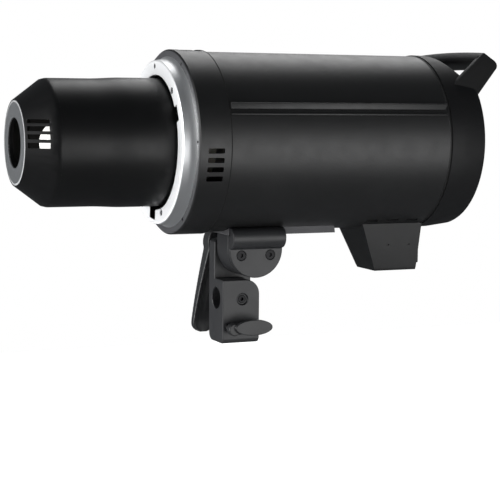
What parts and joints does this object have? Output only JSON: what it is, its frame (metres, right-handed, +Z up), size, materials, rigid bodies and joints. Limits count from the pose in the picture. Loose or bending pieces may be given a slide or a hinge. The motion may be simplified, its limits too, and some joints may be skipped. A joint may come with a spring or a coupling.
{
  "type": "monolight strobe",
  "caption": "Round studio flash head with a bayonet front, a transit cap, a carry handle, a rear control panel and a tilting bracket that clamps on a stand.",
  "frame": {"origin": "on the stand socket's axis, at the mouth of the socket under the bracket", "axes": "+Z up, the front of the head (bayonet and cap) towards -Y, +X to the right as seen from the front"},
  "size_m": [0.1344, 0.3611, 0.2174],
  "materials": {
    "casing_black": "fine textured satin black",
    "shell_black": "fine textured satin black",
    "cap_black": "satin black",
    "panel_black": "matte black",
    "cap_grey": "satin grey",
    "ring_silver": "satin machined",
    "steel": "zinc plated",
    "dark_steel": "black oxide",
    "bracket_grey": "textured dark grey coat",
    "rail_grey": "anodised grey",
    "lever_black": "satin dark grey",
    "button_grey": "matte grey",
    "button_red": "matte red",
    "display": "gloss tinted window",
    "sensor_red": "gloss tinted dome",
    "frost_glass": "frosted",
    "tube_glass": "clear",
    "ceramic": "unglazed ceramic",
    "reflector": "brightened",
    "board_green": "solder resist",
    "capacitor": "heat-shrink sleeve",
    "copper": "enamelled winding"
  },
  "bodies": {
    "stand": {"stand_block": "bracket_grey", "cross_set_screw": "dark_steel", "friction_washer": "steel"},
    "clamp": {"tilt_quadrant": "bracket_grey", "jaw_plate": "bracket_grey", "jaw_screws": "dark_steel", "tilt_bolt": "steel"},
    "head": {"front_shell": "shell_black", "bayonet_ring": "ring_silver", "bayonet_screws": "steel", "upper_casing": "casing_black", "lower_casing": "casing_black", "casing_screws": "dark_steel", "rear_cap": "casing_black", "rear_cap_screws": "dark_steel", "rear_panel": "panel_black", "display_window": "display", "sync_jack": "steel", "slave_sensor_dome": "sensor_red", "handle": "casing_black", "handle_screws": "dark_steel", "reflector_pan": "reflector", "flash_tube": "tube_glass", "tube_base": "ceramic", "lamp_socket": "ceramic", "modelling_lamp": "frost_glass", "chassis_plate": "rail_grey", "capacitor_bank": "capacitor", "capacitor_strap": "rail_grey", "power_board": "board_green", "transformer": "copper", "heat_sink": "rail_grey", "control_board": "board_green", "fan_frame": "panel_black", "balance_rail": "rail_grey", "rail_screws": "steel", "foot_housing": "shell_black", "foot_screws": "steel", "ac_inlet": "panel_black", "release_spring": "steel", "rocker_housing": "panel_black", "trigger_coil": "copper"},
    "cap": {"cap_shell": "cap_black", "cap_face_ring": "cap_grey"},
    "release": {"release_slider": "panel_black"},
    "dial": {"control_dial": "button_grey"},
    "button_1": {"menu_button_1": "button_grey"},
    "button_2": {"menu_button_2": "button_grey"},
    "button_3": {"menu_button_3": "button_grey"},
    "button_4": {"menu_button_4": "button_grey"},
    "test": {"test_button": "button_red"},
    "rocker": {"power_rocker": "panel_black"},
    "fan": {"fan_rotor": "panel_black"},
    "fuse": {"fuse_drawer": "panel_black"},
    "stand_lock": {"cam_pin": "steel", "stand_lock_lever": "lever_black"},
    "tilt_lock": {"tilt_lever": "lever_black", "lever_cap": "dark_steel"}
  },
  "joints": [
    {"name": "tilt", "type": "hinge", "parent": "stand", "child": "clamp", "pos_m": [0, 0.0077, 0.0708], "axis": [1, 0, 0], "range_deg": [-60, 15]},
    {"name": "rail_slide", "type": "slide", "parent": "clamp", "child": "head", "axis": [0, 1, 0], "range_m": [-0.04, 0]},
    {"name": "cap_twist", "type": "hinge", "parent": "head", "child": "cap", "pos_m": [0, -0.1, 0.149], "axis": [0, -1, 0], "range_deg": [0, 18]},
    {"name": "lock_pin_slide", "type": "slide", "parent": "head", "child": "release", "axis": [0, 1, 0], "range_m": [0, 0.004], "stiffness_N_per_m": 500, "deforming": ["release_spring"]},
    {"name": "dial_spin", "type": "hinge", "parent": "head", "child": "dial", "pos_m": [0, 0.1725, 0.127], "axis": [0, 1, 0], "continuous": true},
    {"name": "button_1_press", "type": "slide", "parent": "head", "child": "button_1", "axis": [0, -1, 0], "range_m": [0, 0.0012], "stiffness_N_per_m": 400},
    {"name": "button_2_press", "type": "slide", "parent": "head", "child": "button_2", "axis": [0, -1, 0], "range_m": [0, 0.0012], "stiffness_N_per_m": 400},
    {"name": "button_3_press", "type": "slide", "parent": "head", "child": "button_3", "axis": [0, -1, 0], "range_m": [0, 0.0012], "stiffness_N_per_m": 400},
    {"name": "button_4_press", "type": "slide", "parent": "head", "child": "button_4", "axis": [0, -1, 0], "range_m": [0, 0.0012], "stiffness_N_per_m": 400},
    {"name": "test_press", "type": "slide", "parent": "head", "child": "test", "axis": [0, -1, 0], "range_m": [0, 0.0012], "stiffness_N_per_m": 400},
    {"name": "rocker_tip", "type": "hinge", "parent": "head", "child": "rocker", "pos_m": [0.03, 0.1699, 0.127], "axis": [1, 0, 0], "range_deg": [-14, 0]},
    {"name": "fan_spin", "type": "hinge", "parent": "head", "child": "fan", "pos_m": [0, 0.133, 0.169], "axis": [0, 1, 0], "continuous": true},
    {"name": "fuse_slide", "type": "slide", "parent": "head", "child": "fuse", "axis": [0, 1, 0], "range_m": [0, 0.013]},
    {"name": "stand_lock_turn", "type": "hinge", "parent": "stand", "child": "stand_lock", "pos_m": [0.015, -0.0094, 0.012], "axis": [1, 0, 0], "range_deg": [0, 60]},
    {"name": "tilt_lock_turn", "type": "hinge", "parent": "stand", "child": "tilt_lock", "pos_m": [-0.04, 0.0077, 0.0708], "axis": [1, 0, 0], "range_deg": [-40, 40]}
  ]
}
